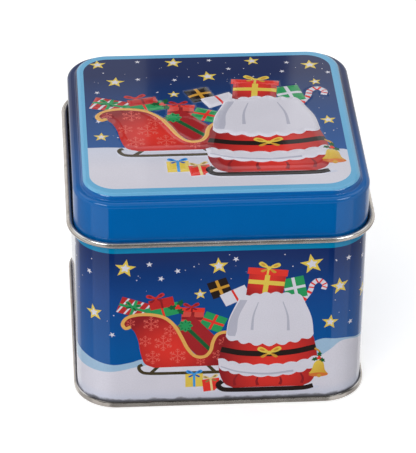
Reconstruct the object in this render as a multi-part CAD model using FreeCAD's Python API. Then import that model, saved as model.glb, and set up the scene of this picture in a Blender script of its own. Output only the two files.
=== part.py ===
import FreeCAD, Part

# Square slip-lid cookie tin of 0.25 mm tinplate, in the three pieces it is pressed and folded from:
#   body  one wrapped sheet, lock-seamed up the back, with an inward safety curl on top and a hook below
#   base  a pressed end whose rim is double-seamed round the body's hook
#   lid   a drawn shell with a raised panel, a deep skirt and an outward curl on its lower edge
# Millimetres, +Z up, the front faces -Y. The origin is the middle of the plane the tin stands on.

import math
import os

from FreeCAD import Vector

# Driving dimensions
SHEET = 0.25  # tinplate thickness
BODY_SIDE = 100.0  # outside of the body wall, both ways
CORNER_R = 14.2  # outside corner radius of the body, seen from above
LID_TOP = 85.7  # top of the lid's raised panel
LEDGE_TOP = 83.75  # top of the ledge round that panel
LID_FIT = 0.18  # gap between the body wall and the lid's skirt, each side
REST_GAP = 0.05  # gap left under the ledge, where the lid rests on the body's curl
SEAM_GAP = 0.11  # gap between the folded layers of the double seam
PANEL_RISE = 3.0  # underside of the base panel above the standing plane

# Lid
SHOULDER_R = 1.5  # outer radius where the ledge turns into the skirt
PANEL_INSET = 1.9  # from the body wall to the foot of the raised panel
PANEL_EDGE_R = 2.0  # mid-line radius of the raised panel's rounded edge
PANEL_FOOT_R = 0.6  # mid-line radius at the foot of the raised panel
PANEL_SLOPE = 70.0  # steepest angle of the raised panel's side, in degrees
PANEL_RIM = 1.0  # flat strip of the panel drawn with its edge, the rest being one plain face
LID_CURL_OUTER_R = 1.02  # outside radius of the lid's curl
LID_CURL_Z = 68.55  # height of the curl's centre
LID_CURL_OUT = 1.73  # curl's centre beyond the body wall
LID_CURL_TURN = 300.0  # how far the edge is rolled, in degrees
SKIRT_FLARE_R = 0.5  # mid-line radius where the skirt turns out into the curl

# Body
BODY_CURL_OUTER_R = 1.0  # outside radius of the inward curl on the body's rim
BODY_CURL_TURN = 290.0  # how far that rim is rolled, in degrees
BODY_HOOK = 1.05  # straight length of the body's hook in the double seam

# Base
SEAM_HEIGHT = 2.3  # double seam, from the standing plane to its top
SEAM_CORNER_R = 0.42  # mid-line radius of the seam's lower corners
END_HOOK = 1.0  # straight length of the base's hook in the double seam
CHUCK_FIT = 0.05  # gap between the base's upright wall and the body's inside
PANEL_BEND_R = 0.9  # mid-line radius where the base panel turns down
BEAD_INSET = 8.0  # from the body wall to the top of the base panel's stiffening step
BEAD_DROP = 0.8  # how far the middle of the base panel steps down
BEAD_RIM = 4.0  # from the top of that step in to the plain middle of the panel
BEAD_R = 1.2  # mid-line radius of both bends of the step
BEAD_SLOPE = 45.0  # slope of the step, in degrees

# Lock seam up the middle of the back
LOCK_GAP = 0.05  # gap between its folded layers
LOCK_HALF = 1.6  # from the seam's middle to each fold
LOCK_SHORT = 0.4  # how far each hook stops short of the other fold
LOCK_BEND_R = 0.4  # mid-line radius of the step that leads behind the fold
LOCK_STEP = 60.0  # slope of that step, in degrees
LOCK_FOOT = 3.6  # the lock seam starts this far up
LOCK_HEAD_GAP = 1.2  # and stops this far under the body's curl

HALF = BODY_SIDE / 2.0
ARC_CENTRE = HALF - CORNER_R
BODY_TOP = LEDGE_TOP - SHEET - REST_GAP


def in_section(across, up):
    """A point of an upright section, measured out from the tin's middle and up."""
    return Vector(across, 0, up)


def in_plan(across, back):
    """A point seen from above."""
    return Vector(across, back, 0)


class Sheet:
    """A folded sheet seen edge on, drawn along its mid-line as straight runs and bends."""

    def __init__(self, place, x, y, heading):
        self.place = place
        self.x = x
        self.y = y
        self.heading = math.radians(heading)
        self.left = []
        self.right = []
        self.start_cap = self.end_cap()

    def side_point(self, side):
        """The point half a thickness to the left (+1) or right (-1) of the pen."""
        across = side * SHEET / 2.0
        x = self.x - across * math.sin(self.heading)
        y = self.y + across * math.cos(self.heading)
        return self.place(x, y)

    def straight(self, length):
        starts = [self.side_point(side) for side in (1, -1)]
        self.x += length * math.cos(self.heading)
        self.y += length * math.sin(self.heading)
        for edges, side, start in zip((self.left, self.right), (1, -1), starts):
            edges.append(Part.makeLine(start, self.side_point(side)))
        return self

    def bend(self, radius, turn):
        """Turns by this many degrees on this mid-line radius, to the left if the turn is positive."""
        hand = math.copysign(1, turn)
        centre_x = self.x - hand * radius * math.sin(self.heading)
        centre_y = self.y + hand * radius * math.cos(self.heading)
        steps = max(1, math.ceil(abs(turn) / 90.0))
        for _ in range(steps):
            points = [[self.side_point(side)] for side in (1, -1)]
            for _ in range(2):
                self.heading += math.radians(turn / steps) / 2.0
                self.x = centre_x + hand * radius * math.sin(self.heading)
                self.y = centre_y - hand * radius * math.cos(self.heading)
                for reached, side in zip(points, (1, -1)):
                    reached.append(self.side_point(side))
            for edges, three in zip((self.left, self.right), points):
                edges.append(Part.Arc(*three).toShape())
        return self

    def end_cap(self):
        return Part.makeLine(self.side_point(1), self.side_point(-1))

    def open_outline(self):
        """Both sides and the far end, left open where the sheet starts."""
        return self.left + [self.end_cap()] + self.right

    def closed_outline(self):
        return self.open_outline() + [self.start_cap]


def swept_round(edges):
    """The faces that section edges leave when they are carried once round the tin."""
    run = 2.0 * ARC_CENTRE
    corner = Vector(ARC_CENTRE, ARC_CENTRE, 0)
    quarter = []
    for edge in edges:
        quarter.append(edge.translated(Vector(0, -run / 2.0, 0)).extrude(Vector(0, run, 0)))
        quarter.append(edge.translated(Vector(0, run / 2.0, 0)).revolve(corner, Vector(0, 0, 1), 90))
    origin = Vector(0, 0, 0)
    turned = [face.rotated(origin, Vector(0, 0, 1), 90 * k) for k in range(4) for face in quarter]
    return [face for shape in turned for face in shape.Faces]


def rounded_square(half, height):
    """A flat face with corners that share the tin's corner centres."""
    radius = half - ARC_CENTRE
    diagonal = ARC_CENTRE + radius / math.sqrt(2.0)
    edges = []
    for k in range(4):
        turn = FreeCAD.Rotation(Vector(0, 0, 1), 90 * k)
        low, high = Vector(half, -ARC_CENTRE, height), Vector(half, ARC_CENTRE, height)
        middle, far = Vector(diagonal, diagonal, height), Vector(ARC_CENTRE, half, height)
        low, high, middle, far = [turn.multVec(p) for p in (low, high, middle, far)]
        edges += [Part.makeLine(low, high), Part.Arc(high, middle, far).toShape()]
    return Part.Face(Part.Wire(edges))


def solid_from(faces):
    shell = Part.makeCompound(faces)
    shell.sewShape(1e-5)
    solid = Part.makeSolid(shell.Shells[0])
    if solid.Volume < 0:
        solid.reverse()
    return solid


def panelled(sheet, start_x, start_z):
    """A pressed sheet whose section starts on a flat middle panel and runs out to its edge."""
    faces = swept_round(sheet.open_outline())
    faces += [rounded_square(start_x, start_z + side * SHEET / 2.0) for side in (1, -1)]
    return solid_from(faces)


def step_length(rise, slope, first_r, second_r):
    """Straight part of a step of this rise between two bends to and from this slope."""
    bends = (first_r + second_r) * (1 - math.cos(math.radians(slope)))
    return (rise - bends) / math.sin(math.radians(slope))


def step_run(rise, slope, first_r, second_r):
    """How far such a step reaches sideways."""
    bends = (first_r + second_r) * math.sin(math.radians(slope))
    return bends + step_length(rise, slope, first_r, second_r) * math.cos(math.radians(slope))


def make_lid():
    rise = LID_TOP - LEDGE_TOP
    panel_edge = PANEL_INSET + step_run(rise, PANEL_SLOPE, PANEL_EDGE_R, PANEL_FOOT_R)
    start_x = HALF - panel_edge - PANEL_RIM
    start_z = LID_TOP - SHEET / 2.0
    skirt_mid = HALF + LID_FIT + SHEET / 2.0
    shoulder_r = SHOULDER_R - SHEET / 2.0
    curl_r = LID_CURL_OUTER_R - SHEET / 2.0
    curl_low = LID_CURL_Z - curl_r
    sheet = Sheet(in_section, start_x, start_z, 0)
    sheet.straight(PANEL_RIM)
    sheet.bend(PANEL_EDGE_R, -PANEL_SLOPE)
    sheet.straight(step_length(rise, PANEL_SLOPE, PANEL_EDGE_R, PANEL_FOOT_R))
    sheet.bend(PANEL_FOOT_R, PANEL_SLOPE)
    sheet.straight(skirt_mid - shoulder_r - sheet.x)
    sheet.bend(shoulder_r, -90)
    sheet.straight(sheet.y - SKIRT_FLARE_R - curl_low)
    sheet.bend(SKIRT_FLARE_R, 90)
    sheet.straight(HALF + LID_CURL_OUT - sheet.x)
    sheet.bend(curl_r, LID_CURL_TURN)
    return panelled(sheet, start_x, start_z)


def make_base():
    chuck_mid = HALF - SHEET - CHUCK_FIT - SHEET / 2.0
    outer_mid = HALF + 3 * SEAM_GAP + 2.5 * SHEET
    hook_r = SHEET + SEAM_GAP
    start_x = HALF - BEAD_INSET - BEAD_RIM
    start_z = PANEL_RISE - BEAD_DROP + SHEET / 2.0
    sheet = Sheet(in_section, start_x, start_z, 0)
    sheet.straight(HALF - BEAD_INSET - step_run(BEAD_DROP, BEAD_SLOPE, BEAD_R, BEAD_R) - start_x)
    sheet.bend(BEAD_R, BEAD_SLOPE)
    sheet.straight(step_length(BEAD_DROP, BEAD_SLOPE, BEAD_R, BEAD_R))
    sheet.bend(BEAD_R, -BEAD_SLOPE)
    sheet.straight(chuck_mid - PANEL_BEND_R - sheet.x)
    sheet.bend(PANEL_BEND_R, -90)
    sheet.straight(sheet.y - SEAM_CORNER_R - SHEET / 2.0)
    sheet.bend(SEAM_CORNER_R, 90)
    sheet.straight(outer_mid - SEAM_CORNER_R - sheet.x)
    sheet.bend(SEAM_CORNER_R, 90)
    sheet.straight(SEAM_HEIGHT - SHEET / 2.0 - hook_r - sheet.y)
    sheet.bend(hook_r, 180)
    sheet.straight(END_HOOK)
    return panelled(sheet, start_x, start_z)


def make_body_ring():
    wall_mid = HALF - SHEET / 2.0
    hook_mid = HALF + 2 * SEAM_GAP + 1.5 * SHEET
    hook_r = (hook_mid - wall_mid) / 2.0
    hook_low = SHEET + SEAM_GAP + SHEET / 2.0
    curl_r = BODY_CURL_OUTER_R - SHEET / 2.0
    sheet = Sheet(in_section, hook_mid, hook_low + hook_r + BODY_HOOK, -90)
    sheet.straight(BODY_HOOK)
    sheet.bend(hook_r, -180)
    sheet.straight(BODY_TOP - BODY_CURL_OUTER_R - sheet.y)
    sheet.bend(curl_r, BODY_CURL_TURN)
    return solid_from(swept_round(sheet.closed_outline()))


def lock_layer(number):
    """Mid-line of the lock seam's layers, counted from the outside."""
    return HALF - SHEET / 2.0 - (number - 1) * (SHEET + LOCK_GAP)


def make_lock_seam():
    """The two hooked edges of the body sheet, and the slot in the ring that they stand in."""
    fold_r = SHEET + LOCK_GAP
    hook_length = 2 * LOCK_HALF - LOCK_SHORT
    depth = lock_layer(1) - lock_layer(4)
    run = step_run(depth, LOCK_STEP, LOCK_BEND_R, LOCK_BEND_R)
    step_start = LOCK_HALF + fold_r + SHEET / 2.0 + run
    outer = Sheet(in_plan, LOCK_HALF, lock_layer(1), 0)
    outer.bend(fold_r, -180)
    outer.straight(hook_length)
    inner = Sheet(in_plan, step_start, lock_layer(1), 180)
    inner.bend(LOCK_BEND_R, LOCK_STEP)
    inner.straight(step_length(depth, LOCK_STEP, LOCK_BEND_R, LOCK_BEND_R))
    inner.bend(LOCK_BEND_R, -LOCK_STEP)
    inner.straight(inner.x + LOCK_HALF)
    inner.bend(fold_r, -180)
    inner.straight(hook_length)
    top = BODY_TOP - 2 * BODY_CURL_OUTER_R - LOCK_HEAD_GAP
    up = Vector(0, 0, top - LOCK_FOOT)
    lift = Vector(0, 0, LOCK_FOOT)
    hooks = []
    for sheet in (outer, inner):
        outline = Part.Wire(Part.sortEdges(sheet.closed_outline())[0])
        hooks.append(Part.Face(outline).translated(lift).extrude(up))
    slot = Part.makeBox(step_start - LOCK_HALF, 2 * SHEET, up.z, Vector(LOCK_HALF, HALF - 1.5 * SHEET, LOCK_FOOT))
    return hooks, slot


def make_body():
    hooks, slot = make_lock_seam()
    return make_body_ring().cut(slot).multiFuse(hooks).removeSplitter()


pieces = {
    "lid": make_lid(),
    "body_wall": make_body(),
    "base_end": make_base(),
}
os.makedirs("parts", exist_ok=True)
for name, shape in pieces.items():
    if not shape.isValid() or len(shape.Solids) != 1:
        raise SystemExit(f"{name} is not one valid solid")
    shape.Solids[0].exportStep(f"parts/{name}.step")
    print(name, round(shape.Volume), "cubic mm")
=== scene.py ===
"""The looks of a square printed cookie tin, built round its CAD frame.

Each sheet-metal piece is meshed from its own section, carried round the rounded square. The printed
pictures are cut into the sheets as outlines: every printed shape is a set of faces with its own ink.
"""

import math
import random

import bpy
import numpy as np
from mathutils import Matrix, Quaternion, Vector
from mathutils.geometry import delaunay_2d_cdt


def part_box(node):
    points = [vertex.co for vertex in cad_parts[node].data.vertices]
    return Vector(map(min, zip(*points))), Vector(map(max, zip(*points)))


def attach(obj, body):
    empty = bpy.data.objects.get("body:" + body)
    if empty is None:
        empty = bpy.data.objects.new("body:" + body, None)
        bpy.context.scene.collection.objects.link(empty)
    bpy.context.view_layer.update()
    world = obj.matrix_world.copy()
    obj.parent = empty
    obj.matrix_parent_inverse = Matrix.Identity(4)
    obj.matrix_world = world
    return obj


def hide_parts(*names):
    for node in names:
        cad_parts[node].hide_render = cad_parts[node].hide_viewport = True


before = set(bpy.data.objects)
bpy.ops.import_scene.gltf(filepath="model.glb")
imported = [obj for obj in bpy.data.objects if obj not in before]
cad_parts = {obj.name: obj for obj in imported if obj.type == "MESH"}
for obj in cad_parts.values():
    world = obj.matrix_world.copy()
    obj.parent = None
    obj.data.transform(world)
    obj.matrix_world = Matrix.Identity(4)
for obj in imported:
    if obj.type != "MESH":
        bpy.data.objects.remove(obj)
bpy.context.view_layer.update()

# ---- sizes, in millimetres unless said otherwise

MM = 0.001
SHEET = 0.25  # tinplate thickness
CORNER_R = 14.2  # outside corner radius of the body, seen from above
LID_FIT = 0.18  # gap between body and skirt
LEDGE_DROP = 1.95  # from the raised panel's top down to the ledge
SHOULDER_R = 1.5
PANEL_INSET = 1.9
PANEL_EDGE_R = 2.0
PANEL_FOOT_R = 0.6
PANEL_SLOPE = 70.0
PANEL_RIM = 0.3  # flat strip of the panel that is meshed with its edge
LID_CURL_OUTER_R = 1.02
LID_CURL_TURN = 300.0
SKIRT_FLARE_R = 0.5
BODY_CURL_OUTER_R = 1.0
BODY_CURL_TURN = 290.0
BODY_HOOK = 1.05
SEAM_GAP = 0.11
SEAM_HEIGHT = 2.3
SEAM_CORNER_R = 0.42
END_HOOK = 1.0
CHUCK_FIT = 0.05
PANEL_BEND_R = 0.9
BEAD_INSET = 8.0
BEAD_RIM = 4.0  # from the top of the base panel's step in to its plain middle
BEAD_DROP = 0.8
BEAD_R = 1.2
BEAD_SLOPE = 45.0
LOCK_FOOT = 3.6
LOCK_HEAD_GAP = 1.2
LOCK_RIDGE_HALF = 2.03
LOCK_RIDGE = 0.9
LOCK_RIDGE_ROUND = 0.3  # width of the ridge's rounded edges
LOCK_GROOVE_AT = 2.45  # from the middle of the back to the groove beside the lock seam
LOCK_GROOVE_HALF = 0.5
LOCK_GROOVE = 0.5
LOCK_FADE = 0.8  # the lock seam's shape fades in and out over this length
CURL_RIPPLE = 0.06  # how uneven the lid's curl is
CURL_RIPPLE_TOP = 1.4  # from the curl's centre up to where that starts
CURL_RIPPLE_IN = 0.6  # and from the body wall out
SEAM_RIPPLE = 0.05  # how uneven the double seam is
SEAM_RIPPLE_IN = 0.3  # from the body wall out to where that starts
SEAM_RIPPLE_FADE = 0.4

lid_low, lid_high = [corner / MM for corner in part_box("lid")]
body_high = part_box("body_wall")[1] / MM
base_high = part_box("base_end")[1] / MM
HALF = body_high.x - 2 * (SHEET + SEAM_GAP)
ARC_CENTRE = HALF - CORNER_R
ROUND = 8.0 * ARC_CENTRE + 2.0 * math.pi * CORNER_R  # length of the wall, all the way round
LID_TOP = lid_high.z
BODY_TOP = body_high.z
BASE_PANEL_TOP = base_high.z
WALL_FOOT = 2.5 * SHEET + 2 * SEAM_GAP  # where the body's hook has turned into its upright wall
WALL_HEAD = BODY_TOP - BODY_CURL_OUTER_R  # and where that turns into the curl
LID_CURL_Z = lid_low.z + LID_CURL_OUTER_R
LID_CURL_OUT = lid_high.x - HALF - LID_CURL_OUTER_R

# Printed areas
PRINT_EDGE = 3.1  # the pale border's outer edge, in from the body wall
BORDER_FRONT, BORDER_LEFT, BORDER_RIGHT, BORDER_BACK = 6.8, 5.3, 5.9, 6.3  # its inner edge, off centre
BORDER_CORNER_R = 9.0
SKIRT_PRINT_LOW = 68.6
BAND_LOW = 64.1  # lower edge of the teal band under the lid
BODY_PRINT_TOP = 81.0
SKIRT_STRIP = 0.6  # strip of faces just above the skirt's bare edge
SKY_TURN = 46.0  # height at which the body's sky goes from one fade to the next
BLUE_END = -48.0  # the lid is clear blue up to here, from front to back
NAVY_START = 12.0  # and navy from here
STRIPE_PITCH = 2.2  # of a striped wrapping
STRIPE = 0.7  # width of one stripe, and the least width of a ribbon
WRAP_EDGE = 0.04  # ribbons and stripes stop this far inside a parcel's edges
PARCEL_EDGE = 1.4  # width of a parcel's embossed edge

# Mesh steps
ARC_PIECES = 20  # round each corner
FLAT_PIECES = 14  # along each flat
LID_GRID, LID_GRID_CLEAR = 0.75, 0.4  # pitch of the panel's points, and how far they stay inside its edge
WALL_GRID = 1.9
WALL_STEP = 2.0  # between the points up the wall's folds and corners
BASE_GRID, BASE_GRID_CLEAR = 6.0, 2.0
WELD_CELLS = 150  # per millimetre: points in one such cell become one
CELL_SHIFT = 0.137  # moves the cells' edges off round numbers

# ---- inks

INK_GAIN = 1.36  # from a colour as it should appear under the scene's light to the ink's own reflectance
INK_MOST = 0.86  # the brightest reflectance an ink can have


def linear(value):
    value = value / 255.0
    return value / 12.92 if value <= 0.04045 else ((value + 0.055) / 1.055) ** 2.4


def ink(red, green, blue):
    return np.array([min(INK_MOST, linear(v) * INK_GAIN) for v in (red, green, blue)])


def fade(first, second, start, end):
    """An ink that goes from one colour at one point to another at a second point."""
    start, end = np.array(start, float), np.array(end, float)
    along = (end - start) / np.dot(end - start, end - start)

    def colour(points):
        share = np.clip((points - start) @ along, 0, 1)[:, None]
        return first * (1 - share) + second * share

    return colour


def glow(middle, rim, centre, radii):
    """An ink that is one colour at its centre and another at this many millimetres out, across and up."""
    centre, radii = np.array(centre, float), np.array(radii, float)

    def colour(points):
        share = np.clip(np.linalg.norm((points - centre) / radii, axis=1), 0, 1)[:, None] ** 1.6
        return middle * (1 - share) + rim * share

    return colour


WHITE = ink(199, 197, 207)
SNOW_SHADE = ink(146, 174, 198)
SNOW_LIGHT = ink(190, 193, 208)
FUR_SHADE = ink(168, 168, 182)
GOLD = ink(226, 182, 76)
GOLD_DARK = ink(190, 140, 52)
TRIM_GOLD = ink(224, 158, 84)
RED = ink(211, 53, 45)
RED_DARK = ink(132, 34, 38)
GREEN = ink(42, 140, 84)
GREEN_DARK = ink(30, 86, 50)
BROWN = ink(66, 58, 40)
BLACK = ink(38, 30, 28)
SKY_HIGH = ink(15, 39, 91)
SKY_MID = ink(24, 64, 125)
SKY_LOW = ink(12, 79, 143)
LID_SKY_HIGH = ink(24, 38, 82)
LID_SKY_LOW = ink(30, 80, 142)
RIBBON_BLUE = ink(60, 140, 205)
FLAKE = ink(218, 96, 86)
BORDER = ink(98, 163, 200)
SKIRT_BLUE = ink(0, 90, 158)
SKIRT_NAVY = ink(20, 38, 84)
TEAL = ink(0, 122, 166)
BARE = np.array([0.55, 0.53, 0.5])

# ---- outlines


def curve(points, steps=6, closed=False):
    """A smooth line through the points. An open one ends on the last of them."""
    points = [np.array(p, float) for p in points]
    count = len(points)
    if closed:
        line = [points[-1]] + points + points[:2]
    else:
        line = [2 * points[0] - points[1]] + points + [2 * points[-1] - points[-2]]
        count -= 1
    out = []
    for i in range(count):
        a, b, c, d = line[i : i + 4]
        for k in range(steps):
            t = k / steps
            square, cube = 2 * a - 5 * b + 4 * c - d, 3 * b - a - 3 * c + d
            out.append(0.5 * (2 * b + (c - a) * t + square * t * t + cube * t**3))
    if not closed:
        out.append(points[-1])
    return [tuple(p) for p in out]


def unit(vectors):
    return vectors / np.linalg.norm(vectors, axis=1)[:, None]


def left_of(vectors):
    return np.stack([-vectors[:, 1], vectors[:, 0]], axis=1)


def beside(line):
    """Unit directions to the left of a line, at each of its points."""
    return left_of(unit(np.gradient(line, axis=0)))


def stroke(line, width, end_width=None):
    """The outline of a line drawn with a pen of this width, which may change towards its end."""
    line = np.array(line, float)
    across = beside(line)
    last = width if end_width is None else end_width
    halves = np.linspace(width, last, len(line))[:, None] / 2.0
    return [tuple(p) for p in np.vstack([line + across * halves, (line - across * halves)[::-1]])]


def turned(outline, degrees, x=0.0, y=0.0):
    """The outline turned about the origin and then moved."""
    c, s = math.cos(math.radians(degrees)), math.sin(math.radians(degrees))
    return [(x + c * px - s * py, y + s * px + c * py) for px, py in outline]


def star(x, y, radius, turn, waist):
    rims = [radius if k % 2 == 0 else radius * waist for k in range(10)]
    points = [(-r * math.sin(math.pi * k / 5.0), r * math.cos(math.pi * k / 5.0)) for k, r in enumerate(rims)]
    return turned(points, turn, x, y)


def disc(x, y, radius, pieces, squash=1.0):
    angles = [2 * math.pi * k / pieces for k in range(pieces)]
    return [(x + radius * math.cos(a), y + radius * squash * math.sin(a)) for a in angles]


def oblong(x, y, width, height, turn=0.0):
    w, h = width / 2.0, height / 2.0
    return turned([(-w, -h), (w, -h), (w, h), (-w, h)], turn, x, y)


def rounded_box(left, right, low, high, radius, pieces=10):
    points = []
    for k, (x, y) in enumerate([(right, high), (left, high), (left, low), (right, low)]):
        cx = x - radius if x == right else x + radius
        cy = y - radius if y == high else y + radius
        for step in range(pieces + 1):
            angle = math.radians(90 * (k + step / pieces))
            points.append((cx + radius * math.cos(angle), cy + radius * math.sin(angle)))
    return points


def strip(end, low, high):
    return [(-end, low), (end, low), (end, high), (-end, high)]


class Picture:
    """Printed shapes, each over the ones before it, and the embossing that goes with them."""

    def __init__(self):
        self.shapes = []
        self.reliefs = []

    def lay(self, outline, colour, bare=False):
        self.shapes.append((np.array(outline, float), colour, bare))

    def raise_(self, outline, height, ramp):
        """Embosses an outline to this height, over a rounded edge this wide."""
        self.reliefs.append((np.array(outline, float), height, ramp))


class Pen:
    """Draws on a picture: the drawing's own millimetres are scaled, then moved."""

    def __init__(self, picture, x=0.0, y=0.0, scale=1.0):
        self.picture, self.x, self.y, self.scale = picture, x, y, scale

    def point(self, x, y):
        return (self.x + self.scale * x, self.y + self.scale * y)

    def outline(self, points):
        return [self.point(x, y) for x, y in points]

    def lay(self, outline, colour):
        self.picture.lay(self.outline(outline), colour)

    def raise_(self, outline, height, ramp):
        self.picture.raise_(self.outline(outline), height, ramp)

    def emboss(self, outline, colour, height, ramp):
        self.lay(outline, colour)
        self.raise_(outline, height, ramp)

    def red(self, x, y, across, up):
        """Red that darkens with the distance from a point."""
        return glow(RED, RED_DARK, self.point(x, y), (across * self.scale, up * self.scale))


# ---- the drawing


def lay_stars(picture, stars, small, small_radius, small_turn):
    """Gold stars and small white ones. Returns the round areas they keep clear."""
    for x, y, radius, turn in stars:
        picture.lay(star(x, y, radius, turn, waist=0.42), GOLD)
        picture.lay(star(x, y, radius * 0.48, turn, waist=0.5), WHITE)
    for k, (x, y) in enumerate(small):
        picture.lay(star(x, y, small_radius, small_turn * k, waist=0.4), WHITE)
    return [(x, y, r + 1.2) for x, y, r, _ in stars] + [(x, y, 2.4) for x, y in small]


def snowflake(pen, x, y, radius, colour):
    width = radius * 0.07
    for k in range(6):
        arm = [(0, radius * 0.06), (0, radius)]
        pen.lay(turned(stroke(arm, width), 60 * k, x, y), colour)
        for reach, length in ((0.5, 0.34), (0.78, 0.22)):
            for side in (-1, 1):
                barb = [(0, radius * reach), (side * radius * length * 0.8, radius * (reach + length * 0.6))]
                pen.lay(turned(stroke(barb, width), 60 * k, x, y), colour)


def bow(pen, x, y, size, turn, colour, shade):
    for side in (-1, 1):
        loop = [(0, 0), (side * 0.35, 0.42), (side * 0.8, 0.62), (side * 1.0, 0.34), (side * 0.6, 0.06)]
        tail = [(0, 0), (side * 0.3, -0.1), (side * 0.72, -0.36), (side * 0.5, -0.5), (side * 0.12, -0.2)]
        hole = [(side * 0.34, 0.2), (side * 0.58, 0.44), (side * 0.8, 0.4), (side * 0.62, 0.2)]
        for points, fill in ((tail, shade), (loop, colour), (hole, shade)):
            scaled = [(px * size, py * size) for px, py in points]
            pen.lay(turned(curve(scaled, 3, closed=True), turn, x, y), fill)
    pen.lay(disc(x, y, size * 0.2, 8), colour)


def rosette(pen, x, y, size, colour, shade):
    """A round bow of small loops."""
    for k in range(8):
        loop = [(0, 0), (size * 0.6, size * 0.3), (size, 0), (size * 0.6, -size * 0.3)]
        pen.lay(turned(curve(loop, 3, closed=True), 45 * k, x, y), colour)
        pen.lay(turned(oblong(size * 0.66, 0, size * 0.34, size * 0.1), 45 * k, x, y), shade)
    pen.lay(disc(x, y, size * 0.22, 8), colour)


def holly(pen, x, y, size, turn):
    for angle in (65, 180, -60):
        leaf = []
        for k in range(13):
            t = k / 12.0
            wide = math.sin(math.pi * t) * (0.26 + 0.09 * math.cos(6 * math.pi * t))
            leaf.append((t, wide))
        leaf += [(px, -py) for px, py in leaf[-2:0:-1]]
        leaf = [(px * size, py * size) for px, py in leaf]
        pen.lay(turned(leaf, turn + angle, x, y), GREEN_DARK)
    for k in range(3):
        angle = math.radians(90 + 120 * k)
        berry = disc(x + 0.15 * size * math.cos(angle), y + 0.15 * size * math.sin(angle), 0.16 * size, 8)
        pen.lay(berry, RED)


def parcel(pen, x, y, width, height, turn, wrap, ribbon, stripes=None, relief=0.35, cross=True):
    """A wrapped box, seen flat, with its ribbon."""
    pen.emboss(oblong(x, y, width, height, turn), wrap, relief, PARCEL_EDGE)
    if stripes is not None:
        count = int(width / STRIPE_PITCH)
        for k in range(count):
            low = -width / 2.0 + width * (k + 0.4) / count
            lean = 0.4 * width / count
            high = low + lean
            reach = height / 2.0 - WRAP_EDGE
            foot = low - lean
            band = [(foot, -reach), (foot + STRIPE, -reach), (high + STRIPE, reach), (high, reach)]
            pen.lay(turned(band, turn, x, y), stripes)
    broad = max(STRIPE, min(width, height) * 0.15)
    pen.lay(turned(oblong(0, 0, broad, height - 2 * WRAP_EDGE), turn, x, y), ribbon)
    if cross:
        pen.lay(turned(oblong(0, 0, width - 2 * WRAP_EDGE, broad), turn, x, y), ribbon)


def draw_sleigh(pen):
    """A sleigh heaped with parcels, standing on the snow."""
    parcel(pen, -30.6, 41.6, 10.4, 6.6, -20, ink(172, 44, 46), GREEN, stripes=WHITE)
    bow(pen, -31.0, 42.2, 2.8, -20, GREEN, GREEN_DARK)
    parcel(pen, -20.6, 40.0, 11.5, 5.0, 14, GREEN, RED, cross=False)
    parcel(pen, -21.0, 43.2, 8.5, 4.0, 12, ink(176, 42, 42), RED_DARK, cross=False)
    bow(pen, -23.0, 45.3, 3.2, 8, ink(186, 48, 46), RED_DARK)
    parcel(pen, -10.4, 36.6, 7.6, 7.2, -4, ink(196, 72, 64), RED_DARK)
    parcel(pen, -10.6, 40.2, 8.8, 1.8, -4, RED, RED_DARK, relief=0.4, cross=False)
    bow(pen, -10.8, 41.4, 2.8, 0, ink(176, 42, 42), RED_DARK)
    parcel(pen, -3.2, 34.8, 8.0, 6.6, -24, GREEN, RED)
    parcel(pen, -8.0, 27.7, 9.8, 19.0, 40, ink(150, 38, 42), GREEN_DARK, relief=0.3, cross=False)
    rosette(pen, -12.8, 33.6, 2.6, GREEN, GREEN_DARK)
    holly(pen, -15.4, 41.4, 3.6, 0)
    runner = [(-27.6, 17.6), (-28.8, 16.8), (-28.2, 14.9), (-25.4, 13.8), (-14, 13.6), (0, 13.6), (8, 13.6)]
    runner = curve(runner)
    pen.lay(stroke(runner, 1.25), BROWN)
    pen.raise_(stroke(runner, 1.6), 0.3, 0.7)
    for foot, hip in ((-24.8, -22.0), (-2.4, -5.0)):
        pen.lay(stroke([(foot, 13.8), (hip, 16.8)], 1.2), BROWN)
    top = [
        (-31.6, 33.8), (-33.4, 33.2), (-34.4, 35.2), (-32.8, 37.6), (-29.2, 38.7), (-24.6, 38.6),
        (-20.0, 37.2), (-16.6, 33.8), (-14.2, 29.0), (-12.0, 24.0), (-9.2, 20.6), (-6.0, 20.4), (-4.0, 22.8),
        (-3.2, 26.6), (-1.6, 29.6), (1.4, 30.4), (3.6, 28.4),
    ]
    rim = curve(top, 5)
    hull = rim + curve([(3.6, 28.4), (4.2, 23.0), (3.0, 18.6), (-0.6, 16.4)], 4)[1:]
    stern = [(-23.6, 16.2), (-26.8, 18.0), (-28.2, 22.4), (-29.0, 27.6), (-30.2, 31.4), (-31.2, 32.8)]
    hull += curve(stern, 4)
    pen.emboss(hull, pen.red(-18, 24, 17, 15), 0.5, 2.6)
    flakes = [
        (-24.6, 34.8, 3.0), (-18.0, 31.6, 2.5), (-26.6, 27.6, 2.3), (-20.4, 26.6, 3.4), (-24.0, 20.6, 2.9),
        (-15.4, 21.0, 3.1), (-31.6, 35.3, 1.7), (-7.4, 18.4, 1.7), (0.4, 26.4, 1.9), (-1.4, 20.8, 2.2),
    ]
    for x, y, radius in flakes:
        snowflake(pen, x, y, radius, FLAKE)
    pen.lay(stroke(rim, 1.25), TRIM_GOLD)
    pen.raise_(stroke(rim, 1.5), 0.62, 0.75)


def scalloped(line, depth, bumps):
    """A line with a row of soft bumps to its left, as along a fleece hem."""
    line = np.array(curve(line, 10), float)
    heights = depth * np.abs(np.sin(math.pi * bumps * np.linspace(0, 1, len(line))))
    return [tuple(p) for p in line + beside(line) * heights[:, None]]


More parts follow.
